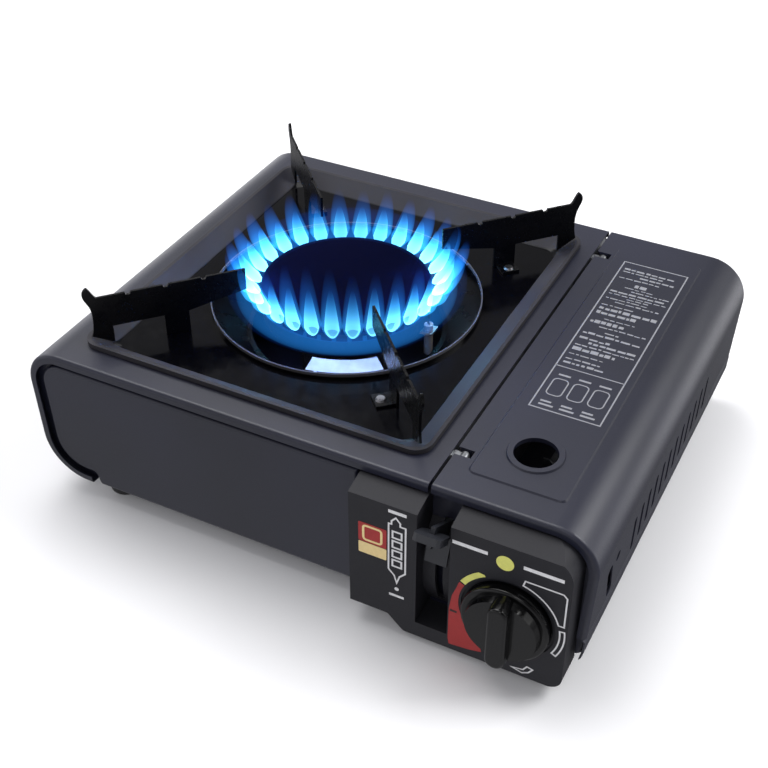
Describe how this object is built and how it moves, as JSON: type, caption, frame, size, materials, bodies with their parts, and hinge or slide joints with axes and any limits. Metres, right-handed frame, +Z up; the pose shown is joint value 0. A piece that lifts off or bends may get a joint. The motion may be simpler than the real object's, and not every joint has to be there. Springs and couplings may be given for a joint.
{
  "type": "butane cassette stove",
  "caption": "Portable tabletop gas stove: low steel box with a square drip tray, round burner, pot supports, hinged cartridge lid, locking lever and igniter knob.",
  "frame": {"origin": "on the floor, under the middle of the overall box (body, control housing and knob)", "axes": "+X to the user's right, where the cartridge bay is; +Y to the back; +Z up"},
  "size_m": [0.3379, 0.295, 0.135],
  "materials": {
    "body_paint": "satin dark powder coat",
    "pan_steel": "galvanised sheet",
    "inner_steel": "plated sheet",
    "screw_steel": "bright zinc plate",
    "foot_rubber": "matte",
    "tray_enamel": "glossy enamel",
    "well_enamel": "satin enamel",
    "support_steel": "dark coated steel",
    "burner_alloy": "cast, machined",
    "burner_cap_metal": "dark cap",
    "brass": "turned",
    "cast_zinc": "die cast",
    "heat_aluminium": "bright rolled",
    "seal_rubber": "matte",
    "lever_steel": "black coat",
    "housing_plastic": "fine grain",
    "knob_plastic": "glossy",
    "igniter_plastic": "moulded",
    "white_ceramic": "glazed",
    "wire_rubber": "silicone sleeve"
  },
  "bodies": {
    "body": {"top_shell": "body_paint", "front_panel": "body_paint", "rear_panel": "body_paint", "base_pan": "body_paint", "partition_wall": "pan_steel", "rubber_feet": "foot_rubber", "foot_screws": "screw_steel", "case_screws": "screw_steel", "housing_screws": "screw_steel", "lid_hinge_pins": "screw_steel", "burner_well": "well_enamel", "burner_base": "burner_alloy", "burner_ring": "burner_alloy", "burner_cap": "burner_cap_metal", "mixing_tube": "inner_steel", "burner_stand": "inner_steel", "stand_screws": "screw_steel", "gas_jet": "brass", "jet_holder": "inner_steel", "regulator_body": "cast_zinc", "regulator_cover": "cast_zinc", "regulator_screws": "screw_steel", "regulator_bracket": "inner_steel", "cartridge_socket": "cast_zinc", "socket_seal": "seal_rubber", "gas_pipe": "brass", "pipe_nut": "brass", "heat_plate": "heat_aluminium", "cartridge_cradle": "inner_steel", "lever_pivot_pin": "screw_steel", "carriage_studs": "screw_steel", "carriage_spring": "screw_steel", "spring_anchor": "inner_steel", "piezo_igniter": "igniter_plastic", "electrode_ceramic": "white_ceramic", "electrode_rod": "screw_steel", "electrode_clamp": "inner_steel", "igniter_wire": "wire_rubber", "wire_grommet": "seal_rubber", "control_housing": "housing_plastic"},
    "lid": {"cartridge_lid": "body_paint"},
    "knob": {"knob": "knob_plastic", "knob_shaft": "brass", "igniter_cam": "igniter_plastic"},
    "plunger": {"igniter_plunger": "igniter_plastic"},
    "lever": {"lever_arm": "lever_steel"},
    "carriage": {"push_carriage": "inner_steel"},
    "tray": {"drip_tray": "tray_enamel", "pan_support_right": "support_steel", "pan_support_back": "support_steel", "pan_support_left": "support_steel", "pan_support_front": "support_steel", "support_rivets": "screw_steel"}
  },
  "joints": [
    {"name": "lid_hinge", "type": "hinge", "parent": "body", "child": "lid", "pos_m": [0.0852, 0, 0.0954], "axis": [0, -1, 0], "range_deg": [0, 95]},
    {"name": "knob_turn", "type": "hinge", "parent": "body", "child": "knob", "pos_m": [0.13, 0, 0.042], "axis": [0, -1, 0], "range_deg": [0, 150]},
    {"name": "plunger_slide", "type": "slide", "parent": "body", "child": "plunger", "axis": [0, 0, 1], "range_m": [0, 0.005]},
    {"name": "lever_turn", "type": "hinge", "parent": "body", "child": "lever", "pos_m": [0.089, -0.0755, 0.046], "axis": [1, 0, 0], "range_deg": [0, 48]},
    {"name": "carriage_slide", "type": "slide", "parent": "body", "child": "carriage", "axis": [0, -1, 0], "range_m": [0, 0.00813], "deforming": ["carriage_spring"]},
    {"name": "tray_lift", "type": "slide", "parent": "body", "child": "tray", "axis": [0, 0, 1], "range_m": [0, 0.06]}
  ],
  "couplings": [
    {"joint": "plunger_slide", "follows": "knob_turn", "m_per_rad": 0.0019099},
    {"joint": "carriage_slide", "follows": "lever_turn", "m_per_rad": 0.0097101}
  ]
}
